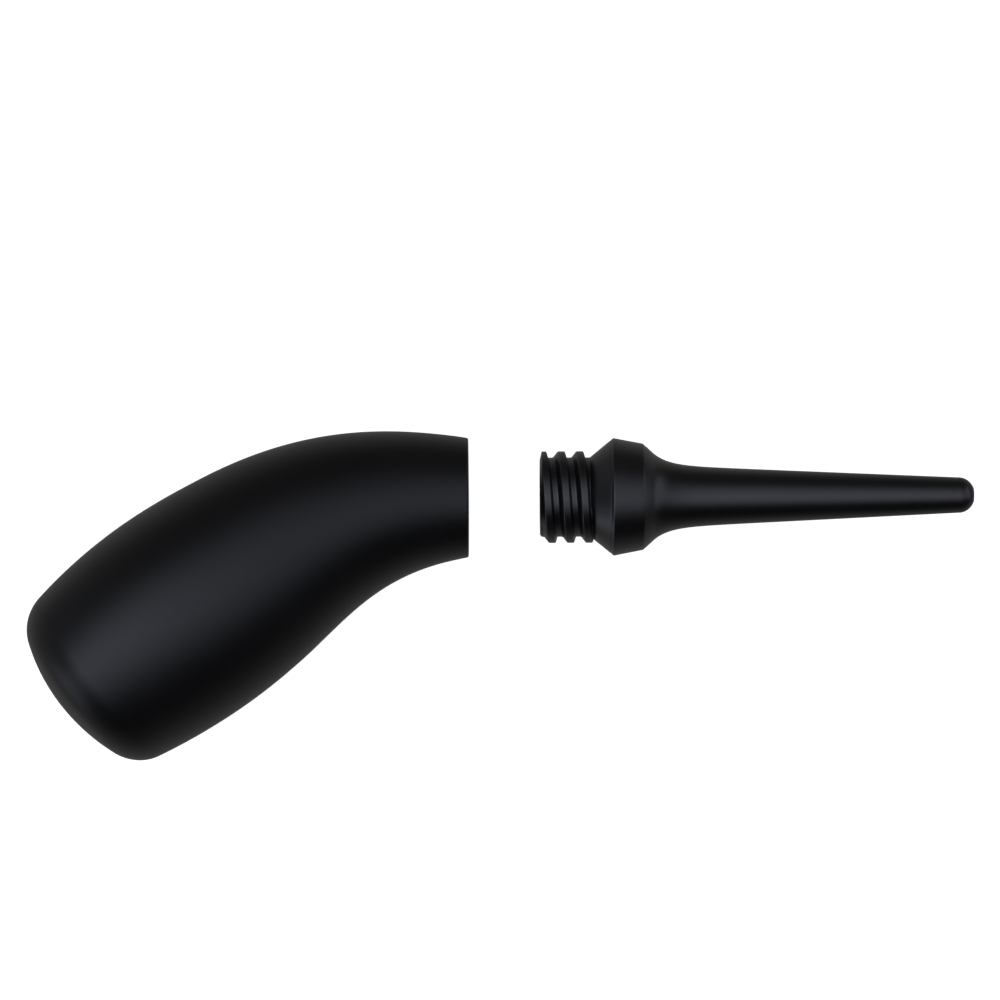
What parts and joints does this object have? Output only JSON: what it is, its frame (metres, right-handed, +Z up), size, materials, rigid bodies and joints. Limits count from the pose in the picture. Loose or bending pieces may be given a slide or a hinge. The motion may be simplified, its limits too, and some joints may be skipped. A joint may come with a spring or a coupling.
{
  "type": "squeeze bulb air blower",
  "caption": "Curved hollow squeeze bulb with a separate round-tipped tapered nozzle, whose threaded plug and conical shoulder fit the bulb's mouth.",
  "frame": {"origin": "bottom centre of the object's box, with the bulb lying on its side and the nozzle drawn out", "axes": "+X along the mouth's axis towards the nozzle's tip, +Y to the outside of the bulb's bend, +Z up, square to the plane of the bend"},
  "size_m": [0.2606, 0.09, 0.06],
  "materials": {
    "bulb_rubber": "soft satin black, moulded",
    "nozzle_plastic": "satin black, moulded"
  },
  "bodies": {
    "bulb": {"bulb": "bulb_rubber"},
    "nozzle": {"nozzle": "nozzle_plastic"}
  },
  "joints": [
    {"name": "nozzle_push_in", "type": "slide", "parent": "bulb", "child": "nozzle", "axis": [-1, 0, 0], "range_m": [0, 0.03719]}
  ]
}
